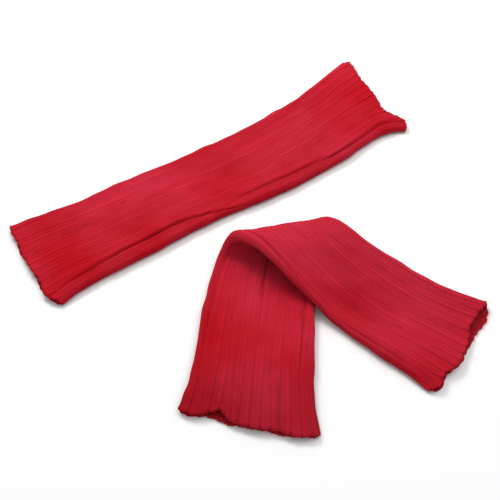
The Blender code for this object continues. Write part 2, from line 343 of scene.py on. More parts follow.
FOLDED_PUCKERS = table(
    Pucker,
    (0.048, 0.34, 0.085, 0.034, 0, -0.0034),
    (0.020, 0.2186, 0.070, 0.0022, 0, 0.0012),
    (0.125, 0.2543, 0.150, 0.0020, 0, 0.0015),
    (0.060, 0.13, 0.045, 0.008, 6, 0.0008),
    (0.120, 0.36, 0.050, 0.008, -7, 0.0007),
    (0.270, 0.72, 0.060, 0.011, 8, 0.0008),
    (0.320, 0.86, 0.050, 0.009, -6, 0.0009),
    (0.355, 0.70, 0.045, 0.009, 9, 0.0009),
    (0.375, 0.60, 0.035, 0.008, -10, 0.0008),
)
print("creases:", len(FOLDED_CREASES), "puckers:", len(FOLDED_PUCKERS))

# %% [markdown]
# The centre line comes from adding up short steps in the direction of each heading. The headings
# could be points instead, but then the cloth's length would change with every adjustment, and a
# knitted tube keeps its length.

# %% The centre line on the floor
HEADING_STEPS = 400


def running_sum(values, first=0.0):
    return first + np.concatenate([[0.0], np.cumsum(values)])


def centre_line(sections, stations):
    """Floor points of the centre line from its headings, with the heading at each."""
    fine = np.linspace(0.0, LENGTH, HEADING_STEPS + 1)
    heading = np.radians(smooth(sections, "heading", fine))
    middle = (heading[1:] + heading[:-1]) / 2
    step = fine[1] - fine[0]
    x = np.interp(stations, fine, running_sum(step * np.cos(middle)))
    y = np.interp(stations, fine, running_sum(step * np.sin(middle)))
    return np.stack([x, y], axis=1), np.interp(stations, fine, heading)


print("straight reach in mm:", in_mm(centre_line(STRAIGHT_SECTIONS, np.array([LENGTH]))[0][0]))

# %% [markdown]
# Across, the tube is two flat layers joined by two round edges. A point on it is found from its
# distance round the cloth, measured from the left edge, so the ribs keep their spacing as they go
# round an edge and none of them stretches.

# %% Across the flattened tube
def half_round(half_width):
    """The length of cloth from one side edge of the tube to the other."""
    return 2 * half_width + (math.pi / 2 - 1) * LAID_HEIGHT


def over_the_top(half_width, distance):
    """Across, up and outward normal on a flattened tube's upper half, measured from its left edge."""
    r = LAID_HEIGHT / 2
    corner = math.pi * r / 2
    face = 2 * (half_width - r)
    on_left = np.clip(distance, 0, corner) / r
    on_face = np.clip(distance - corner, 0, face)
    on_right = np.clip(distance - corner - face, 0, corner) / r
    across = half_width - r + r * np.cos(on_left) - on_face - r * np.sin(on_right)
    up = r + r * np.sin(on_left) - r * (1 - np.cos(on_right))
    normal = np.stack([np.cos(on_left) - np.sin(on_right), np.sin(on_left) + np.cos(on_right) - 1], axis=1)
    return across, up, normal


def round_the_tube(half_width, distance):
    """The same all the way round: the lower half is the upper half turned by half a turn."""
    half = half_round(half_width)
    under = distance >= half
    across, up, normal = over_the_top(half_width, np.where(under, distance - half, distance))
    side = np.where(under, -1.0, 1.0)
    return across * side, np.where(under, LAID_HEIGHT - up, up), normal * side[:, None]


print("cloth round the widest mouth in mm:", in_mm([2 * half_round(STRAIGHT_SECTIONS[-1].half_width)]))

# %% [markdown]
# Creases and puckers press the wall in by a soft bell curve, so they have no hard edge. The band of
# cloth between a long crease and the edge slopes down to the surface, and that is what darkens it in
# the photograph. Over all this go a few long waves, because no layer of knit lies truly flat.

# %% Creases and puckers
CREASE_WIDTH = 0.0012
BAND_SHARE = 0.38  # of a crease's depth, by which the band between it and the edge stays down
BAND_SOFTNESS = 0.0009
FAR_FROM_BAND = 30  # softnesses away, where the band has surely begun or ended
EDGE_ROUND = math.pi / 4 * LAID_HEIGHT  # along the cloth, from the outermost point to the flat layer


def trough(lines, along, half, distance):
    """How deep the long creases press into the wall at each point of a ring."""
    depth = np.zeros(len(distance))
    for line in lines:
        inset = smooth(line.creases, "inset", along)
        deepest = depth_in(line.creases, "depth", along)
        start = {"left": 0.0, "right": half}[line.edge]
        forward = (line.layer == "front") == (line.edge == "left")
        away = (distance - start) if forward else (start - distance)
        away = (away + half) % (2 * half) - half
        depth += deepest * np.exp(-(((away - inset) / CREASE_WIDTH) ** 2))
        past = np.clip((away - inset) / BAND_SOFTNESS, -FAR_FROM_BAND, FAR_FROM_BAND)
        depth += BAND_SHARE * deepest / (1 + np.exp(past)) * np.clip(away / EDGE_ROUND, 0, 1)
    return depth


def dents(puckers, along, half, distance):
    """How deep the short puckers press in."""
    depth = np.zeros(len(distance))
    for pucker in puckers:
        ahead = along - pucker.along
        aside = (distance - pucker.round * 2 * half + half) % (2 * half) - half
        turn = math.radians(pucker.turn)
        down = ahead * math.cos(turn) + aside * math.sin(turn)
        over = aside * math.cos(turn) - ahead * math.sin(turn)
        depth += pucker.depth * np.exp(-((2 * down / pucker.length) ** 2) - (over / pucker.width) ** 2)
    return depth


print("deepest long crease in mm:", in_mm([max(column(STRAIGHT_CREASES[0].creases, "depth"))]))

# %% [markdown]
# No knit is quite even: its layers wave, its ribs stray and its grooves are deeper in one place than
# in the next. Noise could do that, but sums of a few sine waves are as good here, because
# they are the same at each run and their sizes can be read.

# %% Waves and unevenness
Wave = namedtuple("Wave", "along_turns round_turns phase depth")
Ripple = namedtuple("Ripple", "size along step phase", defaults=(0.0,))
WAVES = table(
    Wave,
    (3.0, 2, 0.4, 0.00035),
    (5.0, -3, 2.1, 0.00030),
    (8.0, 4, 4.0, 0.00022),
    (13.0, -5, 1.2, 0.00016),
    (17.0, 7, 5.3, 0.00012),
    (4.0, 11, 2.7, 0.00016),
)
RIB_WANDERS = table(Ripple, (0.0625, 9, 1.7), (0.0375, 23, 2.9))
GROOVE_CHANGES = table(Ripple, (0.32, 0, 2.7, 0.5), (0.22, 0, 6.1, 2.0), (0.32, 14, 1.9), (0.22, 33, 4.3))


def waves(along, shares):
    """The slow rise and fall of the layer."""
    turns = [2 * math.pi * (w.along_turns * along / LENGTH + w.round_turns * shares) + w.phase for w in WAVES]
    return sum(w.depth * np.sin(turn) for w, turn in zip(WAVES, turns))


def ripples(rows, along, place):
    """A sum of sine waves that run along the tube and round it."""
    at = along / LENGTH
    return sum(row.size * np.sin(row.along * at + row.step * place + row.phase) for row in rows)


def wander(along, ribs):
    """How far each rib strays sideways, in ribs."""
    return ripples(RIB_WANDERS, along, np.floor(ribs))


def unevenness(along, grooves):
    """How much more or less than usual each groove draws in."""
    return 1 + ripples(GROOVE_CHANGES, along, grooves)


print("a rib strays by at most", sum(column(RIB_WANDERS, "size")), "of its width")

# %% [markdown]
# At a mouth nothing holds the cloth straight or the layers apart. Its line is slanted and curved, in
# slow ruffles, with each rib standing out a little. The upper layer sinks onto the lower one, but for
# the places where it lifts, and the wall thins toward its edge, which ends in a soft lip.

# %% The line of a mouth
MOUTH_REACH = 0.060
LIFT_REACH = 0.022
SCALLOP = 0.0005
RUFFLE = 0.0012
SCALLOP_REACH = 0.012
SCALLOP_CHANGES = table(Ripple, (0.35, 0, 2.4), (0.25, 0, 5.1, 1.0))
RUFFLES = table(Ripple, (1 / 1.7, 0, 5, 0.6), (0.7 / 1.7, 0, 9, 4.0))


def mouth_shift(mouths, along, across, front_share):
    """How far each point moves along the heading, and how far it lifts, from the lines of the mouths."""
    shift = np.zeros(len(across))
    lift = np.zeros(len(across))
    for rows, gone in zip(mouths, (along, LENGTH - along)):
        fade = max(0.0, 1 - gone / MOUTH_REACH) ** 2
        front = smooth(rows, "front", across)
        back = smooth(rows, "back", across)
        shift += fade * (back + (front - back) * front_share)
        near = max(0.0, 1 - gone / LIFT_REACH) ** 2
        lift += near * front_share * depth_in(rows, "front_lift", across)
        lift -= near * (1 - front_share) * depth_in(rows, "back_lift", across)
    return shift, lift


def scallop(along, ribs):
    """How far the edge stands out along the heading at each mouth: ribs, and slower ruffles over them."""
    uneven = 1 + ripples(SCALLOP_CHANGES, along=0.0, place=np.floor(ribs))
    out = -np.cos(2 * math.pi * (ribs - GROOVE_SHARE / 2)) * uneven * SCALLOP
    out = out + RUFFLE * ripples(RUFFLES, along=0.0, place=2 * math.pi * ribs / RIBS)
    far = math.exp(-(((LENGTH - along) / SCALLOP_REACH) ** 2))
    near = math.exp(-((along / SCALLOP_REACH) ** 2))
    return out * (far - near)


most = SCALLOP * (1 + sum(column(SCALLOP_CHANGES, "size"))) + RUFFLE
print("a mouth's edge stands out by at most this, in mm:", in_mm([most]))

# %% The lip of a mouth
LIP_SWELL = 0.0006
LIP_REACH = 0.0035
LIP_WALL = 0.0023
THINNING_REACH = 0.020
CLOSING_REACH = 0.045
Closing = namedtuple("Closing", "sinking air_kept")
STRAIGHT_CLOSINGS = (Closing("front", 0.20), Closing("front", 0.35))
FOLDED_CLOSINGS = (Closing("front", 0.25), Closing("back", 0.30))


def lip(along):
    """How far the bound edge swells out of the wall."""
    gone = min(along, LENGTH - along)
    return LIP_SWELL * math.exp(-((gone / LIP_REACH) ** 2))


def wall_at(along):
    """The wall's thickness: the bound edge is a little thinner than the cloth."""
    gone = min(along, LENGTH - along)
    return WALL - (WALL - LIP_WALL) * max(0.0, 1 - gone / THINNING_REACH)


def closed(closings, along, height):
    """Lets the upper layer sink onto the lower one toward a mouth, where nothing keeps them apart."""
    wall = wall_at(along)
    for closing, gone in zip(closings, (along, LENGTH - along)):
        lost = (1 - closing.air_kept) * max(0.0, 1 - gone / CLOSING_REACH) ** 2
        above = height if closing.sinking == "front" else LAID_HEIGHT - height
        above = above - lost * np.clip(above - wall, 0, LAID_HEIGHT - 2 * wall)
        height = above if closing.sinking == "front" else LAID_HEIGHT - above
    return height


print("wall at a mouth and in the middle in mm:", in_mm([wall_at(0.0), wall_at(LENGTH / 2)]))

# %% [markdown]
# The fold is a bend over a slanted line. Seen along that line it is a steep loose arch, which falls
# slowly back to the floor. The arch's slopes are a table, with its distances in radii of the bend, and
# the slope of the fall is found by halving, so that the cloth comes down exactly onto the surface.

# %% The fold
FOLD_ALONG = 0.189
FOLD_ANGLE = 14
FOLD_RADIUS = 0.012
FOLD_GROWTH = -0.015  # metres of radius, for each metre along the fold's line
FOLD_BENDS = table(Bend, (-4, 0), (-1, 0), (0, 30), (1, 85), (2, 145), (3, 175))
UPSIDE_DOWN = 180.0
FALL_STARTS, FALL_ENDS, FLAT_AGAIN = 5, 9, 12
STEEPEST_FALL = 60.0
FALL_TOLERANCE = 1e-6
BEND_STEPS = 1200


def fold_profile():
    """The fold seen along its line, in radii: distance, forth, up and slope, falling back to the floor."""
    fine = np.linspace(FOLD_BENDS[0].distance, FLAT_AGAIN, BEND_STEPS + 1)
    step = fine[1] - fine[0]
    low, high = 0.0, STEEPEST_FALL
    while high - low > FALL_TOLERANCE:
        fall = (low + high) / 2
        steep = UPSIDE_DOWN + fall
        rows = FOLD_BENDS + (Bend(FALL_STARTS, steep), Bend(FALL_ENDS, steep), Bend(FLAT_AGAIN, UPSIDE_DOWN))
        slope = np.radians(np.interp(fine, column(rows, "distance"), column(rows, "slope")))
        middle = (slope[1:] + slope[:-1]) / 2
        up = running_sum(step * np.sin(middle))
        low, high = (fall, high) if up[-1] > 0 else (low, fall)
    forth = running_sum(step * np.cos(middle), fine[0])
    print("slope of the fall in degrees:", round(fall, 1))
    return fine, forth, up, slope


def folded_over(points, corner, profile):
    """Bends points that lie flat over the slanted fold line through the corner."""
    angle = math.radians(FOLD_ANGLE)
    line = np.array([math.cos(angle), math.sin(angle)])
    past = np.array([-line[1], line[0]])
    away = points[:, :2] - corner
    along_line = away @ line
    radius = FOLD_RADIUS + FOLD_GROWTH * along_line
    distance = (away @ past) / radius
    fine, forth, up, slope = profile
    inside = np.clip(distance, fine[0], fine[-1])
    beyond = distance - inside
    turn = np.interp(inside, fine, slope)
    height = points[:, 2] - LAID_HEIGHT / 2
    forward = (np.interp(inside, fine, forth) + beyond * np.cos(turn)) * radius - height * np.sin(turn)
    z = LAID_HEIGHT / 2 + np.interp(inside, fine, up) * radius + height * np.cos(turn)
    flat = corner + along_line[:, None] * line + forward[:, None] * past
    return np.column_stack([flat, z])


FOLD_CORNER = centre_line(FOLDED_SECTIONS, np.array([FOLD_ALONG]))[0][0]
FOLD_PROFILE = fold_profile()
FOLD_TOP = LAID_HEIGHT + FOLD_RADIUS * max(FOLD_PROFILE[2])
print("height of the arch over the middle of its line in mm:", in_mm([FOLD_TOP]))

# %% [markdown]
# Now one ring of the tube can be placed. What touches the surface stays flat, because the cloth's
# weight presses it down: the ring is placed plain first, and only points that are clear of the floor
# get their relief. The ring also says how strong each kind of relief is at its points: how deep the
# grooves draw in and how deep a rib's two plain wales part, and, for painted shade alone, how hollow
# the creases are and how deep the red is made toward the mouths. The tree reads the first two, and the
# material paints shade into the colour by all four.

# %% One ring of the tube
Tube = namedtuple("Tube", "sections mouths closings creases slack puckers start place")
INNER_PRESS = 0.4  # of the creases, which show on the inside of the wall
PARTING = 0.16  # of a groove's depth, between the two plain wales of a rib
THINNEST = 0.0008  # of the wall, at the bottom of a groove
FULL_SHADE_CREASE = 0.0030  # the depth of a crease that is in full shade
# groove and parting raise the ribs and are also painted as shade; the last two are painted shade only.
RELIEF_AND_SHADE = ("groove", "parting", "crease_shade", "mouth_shade")


def ring(tube, along, ribs, inward, press=1.0):
    """Points round the tube at the given ribs, moved into the wall by inward, with the relief and painted
    shade of each.
    """
    centre, heading = (value[0] for value in centre_line(tube.sections, np.array([along])))
    half_width = float(smooth(tube.sections, "half_width", along))
    half = half_round(half_width)
    shares = (ribs / RIBS) % 1.0
    distance = shares * 2 * half
    across, up, normal = round_the_tube(half_width, distance)
    share_across = across / half_width
    front_share = (1 + normal[:, 1]) / 2
    middle = 1 - share_across**4
    sag = middle * front_share * depth_in(tube.sections, "front_sag", along)
    rise = middle * (1 - front_share) * depth_in(tube.sections, "back_sag", along)
    shift, lift = mouth_shift(tube.mouths, along, share_across, front_share)
    shift = shift + scallop(along, ribs)
    ahead = np.array([math.cos(heading), math.sin(heading)])
    aside = np.array([-ahead[1], ahead[0]])

    def placed(inward):
        sideways = across - normal[:, 0] * inward
        height = closed(tube.closings, along, up - normal[:, 1] * inward - sag + rise) + lift
        flat = centre + sideways[:, None] * aside + shift[:, None] * ahead
        return tube.place(np.column_stack([flat, height]))

    free = np.clip(placed(0.0)[:, 2] / REST_BAND, 0, 1) ** 2
    creased = trough(tube.creases, along, half, distance) + free * dents(tube.puckers, along, half, distance)
    points = placed(inward + press * (creased + free * (waves(along, shares) - lip(along))))
    points[:, :2] += tube.start

    most = (wall_at(along) - THINNEST) / GROOVE_DEPTH
    slack = float(smooth(tube.slack, "ribs", along))
    groove = free * np.clip(slack * unevenness(along, np.round(ribs)), 0, most)
    parting = free * np.clip(PARTING * unevenness(along, np.floor(ribs) + RIBS), 0, most)
    # Painted shade in the creases and puckers, and on the band between a long crease and the edge.
    crease_shade = np.clip(creased / FULL_SHADE_CREASE, 0, 1)
    # Painted shade: the red is made deeper toward the mouths, by the slack table's last column.
    mouth_shade = np.full(len(ribs), depth_in(tube.slack, "deep", along))
    return points, np.stack([groove, parting, crease_shade, mouth_shade], axis=1)


straight = Tube(
    STRAIGHT_SECTIONS, STRAIGHT_MOUTHS, STRAIGHT_CLOSINGS, STRAIGHT_CREASES, STRAIGHT_SLACK,
    STRAIGHT_PUCKERS, STRAIGHT_START, place=lambda points: points,
)
folded = Tube(
    FOLDED_SECTIONS, FOLDED_MOUTHS, FOLDED_CLOSINGS, FOLDED_CREASES, FOLDED_SLACK,
    FOLDED_PUCKERS, FOLDED_START, place=lambda points: folded_over(points, FOLD_CORNER, FOLD_PROFILE),
)
middle_ring = ring(straight, LENGTH / 2, np.arange(RIBS), 0.0)[0]
print("height of the straight one's middle in mm:", in_mm([middle_ring[:, 2].max()]))

# %% [markdown]
# The wall is a closed skin: outside, a rounded edge at each mouth, and a plain inside. It is built as
# a grid, ring after ring, because then every corner can also say which wale and which course it lies
# on. That goes into a UV map, so the stitches follow the cloth round the edges and over the fold.
# A rib's section is a short table of places and heights. The rings have a point at each of its
# places, and the tree that raises the ribs reads its heights.

# %% Where the points of a ring lie
RibPoint = namedtuple("RibPoint", "place height")
RIB_SECTION = table(
    RibPoint,  # places are shares of a rib's three wales, from the start of the purled one
    (0.0, 0.58), (0.06, 0.22), (0.167, 0.0), (0.273, 0.22), (0.333, 0.58), (0.42, 0.92),
    (0.54, 1.0), (0.667, 0.80), (0.79, 1.0), (0.91, 0.94), (1.0, 0.58),
)
PURLED = 1 / RIB_WALES
INNER_POINTS = 2  # of the plain inside, for each rib
RING_STEP = 0.0018
FINE_STEP = 0.001
FINE_RINGS = 3  # at each mouth
OUTER_PLACES = (np.arange(RIBS)[:, None] + column(RIB_SECTION[:-1], "place")).ravel()
INNER_PLACES = np.arange(RIBS * INNER_POINTS) / INNER_POINTS


def rib_share(place):
    """From a place in wales, as a share of three, to a share of the rib's width: the purled one is narrow."""
    plain = GROOVE_SHARE + (place - PURLED) / (1 - PURLED) * (1 - GROOVE_SHARE)
    return np.where(place < PURLED, place / PURLED * GROOVE_SHARE, plain)


def stations():
    """Places along the tube of its rings, closer together at the mouths."""
    fine = FINE_STEP * np.arange(FINE_RINGS)
    inset = FINE_STEP * FINE_RINGS
    middle = np.linspace(inset, LENGTH - inset, round(LENGTH / RING_STEP))
    return np.concatenate([fine, middle, LENGTH - fine[::-1]])


print("rings:", len(stations()), "points outside:", len(OUTER_PLACES), "inside:", len(INNER_PLACES))

# %% The rings of a whole tube
Lip = namedtuple("Lip", "share bulge")
LIPS = table(Lip, (0.12, 0.0006), (0.5, 0.0010), (0.88, 0.0006))  # shares of the wall's thickness


def outer_ring(tube, along, inward=0.0):
    whole = np.floor(OUTER_PLACES)
    ribs = whole + rib_share(OUTER_PLACES - whole) + wander(along, OUTER_PLACES)
    return ring(tube, along, ribs, np.full(len(ribs), inward))


def inner_ring(tube, along):
    return ring(tube, along, INNER_PLACES, np.full(len(INNER_PLACES), wall_at(along)), INNER_PRESS)[0]


def edge_and_ahead(tube, along, direction):
    """The outer points of a mouth, and the way that the cloth points at each."""
    edge, _ = outer_ring(tube, along)
    beside, _ = outer_ring(tube, along - direction * FINE_STEP)
    ahead = edge - beside
    return edge, ahead / np.linalg.norm(ahead, axis=1)[:, None]


def lip_rings(tube, along, direction):
    """The rounded edge between the outside and the inside, at one mouth."""
    _, ahead = edge_and_ahead(tube, along, direction)
    made = []
    for share, bulge in LIPS:
        points, relief = outer_ring(tube, along, share * wall_at(along))
        made.append((points + ahead * bulge, relief * (1 - share) ** 2))
    return made


print("rings in a lip:", len(LIPS))

# %% Joining the rings into one wall
def grid_faces(first, rings, count, turns_out):
    """Corner numbers of a closed grid of quads, and the ring and column that each corner lies on."""
    row, col = np.meshgrid(np.arange(rings - 1), np.arange(count), indexing="ij")
    corners = [(0, 0), (0, 1), (1, 1), (1, 0)]
    if not turns_out:
        corners = corners[::-1]
    rows = np.stack([row + r for r, _ in corners], axis=-1).reshape(-1, 4)
    cols = np.stack([col + c for _, c in corners], axis=-1).reshape(-1, 4)
    return first + rows * count + cols % count, rows, cols


def grid_uv(places, along, rows, cols):
    """The wale and the course of each corner of a grid."""
    wales = RIB_WALES * np.append(places, RIBS)[cols]
    return np.stack([wales, along[rows] / COURSE], axis=-1).reshape(-1, 2)


def mouth_bands(inner_first, skin_rings, inner_rings, skin_along):
    """The faces that close the wall at each mouth, from the last lip ring to the inside."""
    count, inner_count = len(OUTER_PLACES), len(INNER_PLACES)
    fan = count // inner_count
    bands, uv = [], []
    for skin_row, inner_row, direction in ((0, 0, 1), (skin_rings - 1, inner_rings - 1, -1)):
        for i in range(inner_count):
            across = [i * fan + k for k in range(fan + 1)]
            face = [skin_row * count + c % count for c in across]
            face += [inner_first + inner_row * inner_count + (i + k) % inner_count for k in (1, 0)]
            wales = [WALES * c / count for c in across] + [WALES * (i + k) / inner_count for k in (1, 0)]
            bands.append(face[::direction])
            uv += [(wale, skin_along[skin_row] / COURSE) for wale in wales[::direction]]
    return bands, np.array(uv)


def knit_wall(name, tube):
    """One closed wall as a mesh, with its UV map of wales and courses, its relief and its masks of painted
    shade.
    """
    along = stations()
    outer = [outer_ring(tube, s) for s in along]
    near, far = lip_rings(tube, 0.0, -1), lip_rings(tube, LENGTH, 1)
    skin = near[::-1] + outer + far
    inner = [inner_ring(tube, s) for s in along]
    lip_along = COURSE * column(LIPS, "share")
    skin_along = np.concatenate([-lip_along[::-1], along, LENGTH + lip_along])
    outside = np.concatenate([points for points, _ in skin])
    plain = np.zeros((len(inner) * len(INNER_PLACES), len(RELIEF_AND_SHADE)))
    relief = np.concatenate([part for _, part in skin] + [plain])

    faces, rows, cols = grid_faces(0, len(skin), len(OUTER_PLACES), False)
    uv = grid_uv(OUTER_PLACES, skin_along, rows, cols)
    inner_faces, rows, cols = grid_faces(len(outside), len(inner), len(INNER_PLACES), True)
    inner_uv = grid_uv(INNER_PLACES, along, rows, cols)
    bands, band_uv = mouth_bands(len(outside), len(skin), len(inner), skin_along)

    mesh = bpy.data.meshes.new(name)
    points = np.concatenate([outside] + inner).tolist()
    mesh.from_pydata(points, [], faces.tolist() + inner_faces.tolist() + bands)
    all_uv = np.concatenate([uv, inner_uv, band_uv])
    mesh.uv_layers.new(name="knit").data.foreach_set("uv", all_uv.ravel())
    values = dict(zip(RELIEF_AND_SHADE, relief.T.copy()))
    # Marks the inside of the wall, which the material paints in shade.
    values["inside"] = np.concatenate([np.zeros(len(outside)), np.ones(len(plain))])
    places = [np.tile(OUTER_PLACES, len(skin)), np.tile(INNER_PLACES, len(inner))]
    values["rib_place"] = np.concatenate(places)
    for label, value in values.items():
        mesh.attributes.new(label, "FLOAT", "POINT").data.foreach_set("value", value)
    mesh.shade_smooth()
    print(name, "has", len(mesh.polygons), "faces")
    return mesh


# %% [markdown]
# The ribs themselves are raised by Geometry Nodes. The tree reads each point's place among the ribs,
# looks it up in a curve that is the section of one rib, and moves the point into the wall by that
# much. Displacing by a texture would do the same in the render, but then the sides and the mesh
# would have no ribs.

# %% Helpers for node trees
FALLING = (1.0, 0.0)  # the range of a mask that is full at the start and fades out


def add_sockets(tree, in_out, kind, *names):
    """Adds inputs or outputs of one kind to a tree."""
    kind = "NodeSocket" + kind
    return [tree.interface.new_socket(name, in_out=in_out, socket_type=kind) for name in names]


def add_node(tree, kind, inputs=None, **settings):
    """Adds a node, with its settings and its inputs, each a value or another node's output."""
    node = tree.nodes.new(kind)
    for name, value in settings.items():
        setattr(node, name, value)
    for name, value in (inputs or {}).items():
        if isinstance(value, bpy.types.NodeSocket):
            tree.links.new(value, node.inputs[name])
        else:
            node.inputs[name].default_value = value
    return node


def calculate(tree, operation, *values):
    """One step of arithmetic in a tree."""
    return add_node(tree, "ShaderNodeMath", dict(enumerate(values)), operation=operation).outputs[0]


def mapped(tree, value, source, target=(0.0, 1.0)):
    """A value moved from one range to another, and kept inside it."""
    sizes = dict(enumerate((value, *source, *target)))
    return add_node(tree, "ShaderNodeMapRange", sizes).outputs[0]


def from_middle(tree, value):
    """How far a value between 0 and 1 is from 0.5, as a share of the most that it can be."""
    return calculate(tree, "ABSOLUTE", calculate(tree, "MULTIPLY_ADD", value, 2.0, -1.0))


def distance_to(tree, value, place):
    return calculate(tree, "ABSOLUTE", calculate(tree, "SUBTRACT", value, place))


def combined(tree, x=0.0, y=0.0, z=0.0):
    return add_node(tree, "ShaderNodeCombineXYZ", {"X": x, "Y": y, "Z": z}).outputs[0]


def read_attribute(tree, name, data_type="FLOAT"):
    """A value or vector that the mesh keeps for each of its points."""
    node = add_node(tree, "GeometryNodeInputNamedAttribute", {"Name": name}, data_type=data_type)
    return node.outputs["Attribute"]


def finish_tree(tree, geometry, material):
    """Ends a tree with real geometry, in its material."""
    real = add_node(tree, "GeometryNodeRealizeInstances", {"Geometry": geometry}).outputs[0]
    dressed = add_node(tree, "GeometryNodeSetMaterial", {"Geometry": real, "Material": material})
    add_node(tree, "NodeGroupOutput", {"Geometry": dressed.outputs[0]})
    print(tree.name, "has", len(tree.nodes), "nodes")


# %% The tree that raises the ribs
PARTING_PLACE = 2 / RIB_WALES
PARTING_REACH = 0.12  # of a rib's three wales, to each side of the line between the two plain ones


def raise_ribs_tree():
    tree = bpy.data.node_groups.new("raise_ribs", "GeometryNodeTree")
    add_sockets(tree, "INPUT", "Geometry", "Geometry")
    add_sockets(tree, "INPUT", "Float", "Groove Depth")
    add_sockets(tree, "INPUT", "Material", "Knit")
    add_sockets(tree, "OUTPUT", "Geometry", "Geometry")
    given = add_node(tree, "NodeGroupInput").outputs
    do = partial(calculate, tree)
    in_rib = do("FRACT", read_attribute(tree, "rib_place"))
    section = add_node(tree, "ShaderNodeFloatCurve", {"Value": in_rib})
    curve = section.mapping.curves[0]
    for place, height in RIB_SECTION[1:-1]:
        curve.points.new(place, height)
    curve.points[0].location = RIB_SECTION[0]
    curve.points[-1].location = RIB_SECTION[-1]
    section.mapping.update()
    fallen = do("SUBTRACT", section.outputs["Value"], 1.0)
    drawn_in = do("MULTIPLY", fallen, read_attribute(tree, "groove"))
    cleft = mapped(tree, distance_to(tree, in_rib, PARTING_PLACE), (0.0, PARTING_REACH), FALLING)
    parted = do("MULTIPLY", cleft, read_attribute(tree, "parting"))
    depth = do("MULTIPLY", do("SUBTRACT", drawn_in, parted), given["Groove Depth"])
    normal = add_node(tree, "GeometryNodeInputNormal").outputs[0]
    offset = add_node(tree, "ShaderNodeVectorMath", {0: normal, "Scale": depth}, operation="SCALE").outputs[0]
    moved = add_node(tree, "GeometryNodeSetPosition", {"Geometry": given["Geometry"], "Offset": offset})
    finish_tree(tree, moved.outputs[0], given["Knit"])
    return tree


RAISE_RIBS = raise_ribs_tree()

# %% Running a tree and keeping its result as a plain mesh
def run_tree(piece, tree, values):
    """Runs a Geometry Nodes tree on a piece and keeps the result as the piece's own mesh."""
    modifier = piece.modifiers.new(tree.name, "NODES")
    modifier.node_group = tree
    for socket in tree.interface.items_tree:
        if socket.in_out == "INPUT" and socket.name in values:
            modifier[socket.identifier] = values[socket.name]
    bpy.context.view_layer.update()
    graph = bpy.context.evaluated_depsgraph_get()
    evaluated = piece.evaluated_get(graph)
    made = bpy.data.meshes.new_from_object(evaluated, preserve_all_data_layers=True, depsgraph=graph)
    piece.modifiers.remove(modifier)
    old = piece.data
    piece.data = made
    made.name = piece.name
    bpy.data.meshes.remove(old)
    print(piece.name, "has", sum(len(face.vertices) - 2 for face in made.polygons), "triangles")


# %% [markdown]
# The stitches are too small to model all over, so they are a bump. In a plain wale each stitch is a V:
# two strands that lean out and up. The shader group reads the UV map, where one unit is one wale
# across and one course along, and gives the height of the strands, how deep the gaps between them
# are, which the material paints as shade, and a tone for each stitch, because no two lie quite the same way.

# %% The stitch group
STRAND_SLANT = 0.62  # in courses, from the middle of a wale to its edge
PLY_HEIGHT = 0.12  # of a strand's height
PLY_TWIST = 6.283  # radians for each course, which is one turn
PLY_LEAN = 22.0  # radians from the middle of a wale to its edge
SHOULDER = 0.35  # the height of a strand's ends, as a share of its middle's
GAP_HEIGHT = 0.75  # the height of a strand below which its gap begins


def stitch_group():
    tree = bpy.data.node_groups.new("knit_stitches", "ShaderNodeTree")
    add_sockets(tree, "INPUT", "Vector", "Place")
    slant, ply = add_sockets(tree, "INPUT", "Float", "Slant", "Ply")
    slant.default_value = STRAND_SLANT
    ply.default_value = PLY_HEIGHT
    add_sockets(tree, "OUTPUT", "Float", "Height", "Gap", "Tone")
    given = add_node(tree, "NodeGroupInput").outputs
    place = add_node(tree, "ShaderNodeSeparateXYZ", {"Vector": given["Place"]}).outputs
    do = partial(calculate, tree)
    aside = from_middle(tree, do("FRACT", place["X"]))
    rise = do("SUBTRACT", place["Y"], do("MULTIPLY", aside, given["Slant"]))
    away = from_middle(tree, do("FRACT", rise))
    roundness = do("SQRT", do("SUBTRACT", 1.0, do("POWER", away, 2.0)))
    arm = do("POWER", from_middle(tree, aside), 2.0)
    strand = do("MULTIPLY", roundness, mapped(tree, arm, (0.0, 1.0), (1.0, SHOULDER)))
    twist = do("SINE", do("MULTIPLY_ADD", rise, PLY_TWIST, do("MULTIPLY", aside, PLY_LEAN)))
    plies = do("MULTIPLY", do("MULTIPLY", twist, given["Ply"]), roundness)
    # The gap mask, which the material paints as shade between the strands.
    gap = mapped(tree, strand, (0.0, GAP_HEIGHT), FALLING)
    side = do("FLOOR", do("MULTIPLY", place["X"], 2.0))
    cell = combined(tree, side, do("FLOOR", rise))
    tone = add_node(tree, "ShaderNodeTexWhiteNoise", {"Vector": cell}, noise_dimensions="2D").outputs[0]
    add_node(tree, "NodeGroupOutput", {"Height": do("ADD", strand, plies), "Gap": gap, "Tone": tone})
    print(tree.name, "has", len(tree.nodes), "nodes")
    return tree


STITCHES = stitch_group()

# %% [markdown]
# Wool-like yarn is a little fluffy, and dye takes unevenly. This second group reads Object coordinates,
# so it doesn't know about the stitches: fine fuzz for the surface, and slow clouds for the colour.

# %% The fuzz group
Noise = namedtuple("Noise", "scale detail roughness")
NOISES = {"Fuzz": Noise(1400.0, 3.0, 0.6), "Cloud": Noise(9.0, 3.0, 0.55)}


def fuzz_group():
    tree = bpy.data.node_groups.new("yarn_fuzz", "ShaderNodeTree")
    add_sockets(tree, "INPUT", "Vector", "Place")
    add_sockets(tree, "OUTPUT", "Float", *NOISES)
    place = add_node(tree, "NodeGroupInput").outputs["Place"]
    made = {}
    for name, (scale, detail, roughness) in NOISES.items():
        sizes = {"Vector": place, "Scale": scale, "Detail": detail, "Roughness": roughness}
        made[name] = add_node(tree, "ShaderNodeTexNoise", sizes).outputs[0]
    add_node(tree, "NodeGroupOutput", made)
    print(tree.name, "has", len(tree.nodes), "nodes")
    return tree


FUZZ = fuzz_group()

